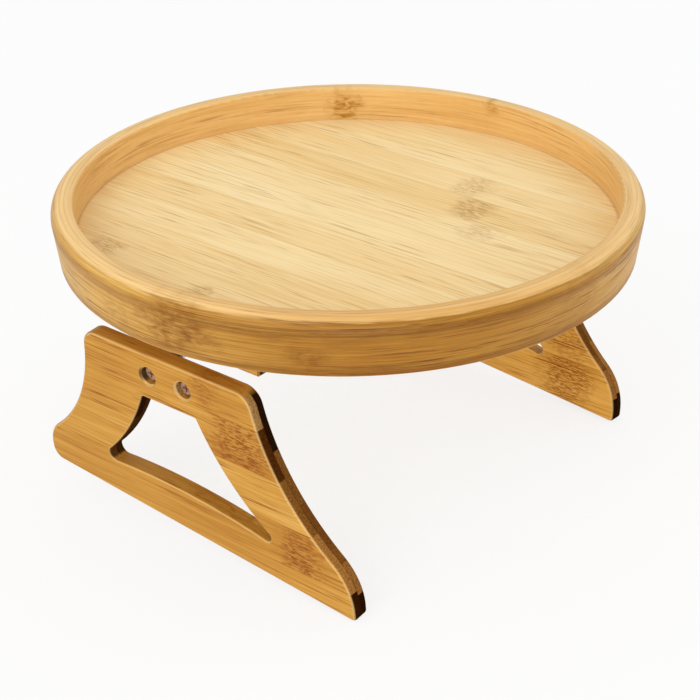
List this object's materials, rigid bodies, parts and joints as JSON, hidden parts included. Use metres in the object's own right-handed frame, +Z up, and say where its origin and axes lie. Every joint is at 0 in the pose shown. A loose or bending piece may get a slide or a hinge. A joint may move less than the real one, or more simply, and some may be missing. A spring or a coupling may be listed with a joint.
{
  "type": "sofa arm tray",
  "caption": "Round bamboo tray with a raised rim that sits on a sofa arm and grips its sides with sprung, windowed clamp plates hinged under it.",
  "frame": {"origin": "centre of the tray floor's underside, the face that lies on the sofa arm", "axes": "+X across the sofa arm from the left clamp plate to the right one, +Y along the sofa arm away from the plates' long front toes, +Z up"},
  "size_m": [0.25, 0.25, 0.1323],
  "materials": {
    "bamboo_floor": "satin lacquer over pressed bamboo strips",
    "bamboo_rim": "satin lacquer over bent bamboo plies",
    "bamboo_plate": "satin lacquer over pressed bamboo",
    "bamboo_batten": "satin lacquer over pressed bamboo",
    "steel": "pressed and nickel plated",
    "plated_steel": "zinc plated screws"
  },
  "bodies": {
    "tray": {"tray_floor": "bamboo_floor", "tray_rim": "bamboo_rim", "left_batten": "bamboo_batten", "left_batten_screws": "plated_steel", "left_fixed_leaf": "steel", "left_fixed_leaf_screws": "plated_steel", "left_hinge_pin": "steel", "left_torsion_spring": "steel", "right_batten": "bamboo_batten", "right_batten_screws": "plated_steel", "right_fixed_leaf": "steel", "right_fixed_leaf_screws": "plated_steel", "right_hinge_pin": "steel", "right_torsion_spring": "steel"},
    "left_clamp": {"left_moving_leaf": "steel", "left_clamp_plate": "bamboo_plate", "left_clamp_plate_screws": "plated_steel"},
    "right_clamp": {"right_moving_leaf": "steel", "right_clamp_plate": "bamboo_plate", "right_clamp_plate_screws": "plated_steel"}
  },
  "joints": [
    {"name": "left_clamp_hinge", "type": "hinge", "parent": "tray", "child": "left_clamp", "pos_m": [-0.098, 0.008, -0.0191], "axis": [0, -1, 0], "range_deg": [-40, 84], "stiffness_Nm_per_rad": 0.3, "deforming": ["left_torsion_spring"]},
    {"name": "right_clamp_hinge", "type": "hinge", "parent": "tray", "child": "right_clamp", "pos_m": [0.098, 0.008, -0.0191], "axis": [0, 1, 0], "range_deg": [-40, 84], "stiffness_Nm_per_rad": 0.3, "deforming": ["right_torsion_spring"]}
  ]
}
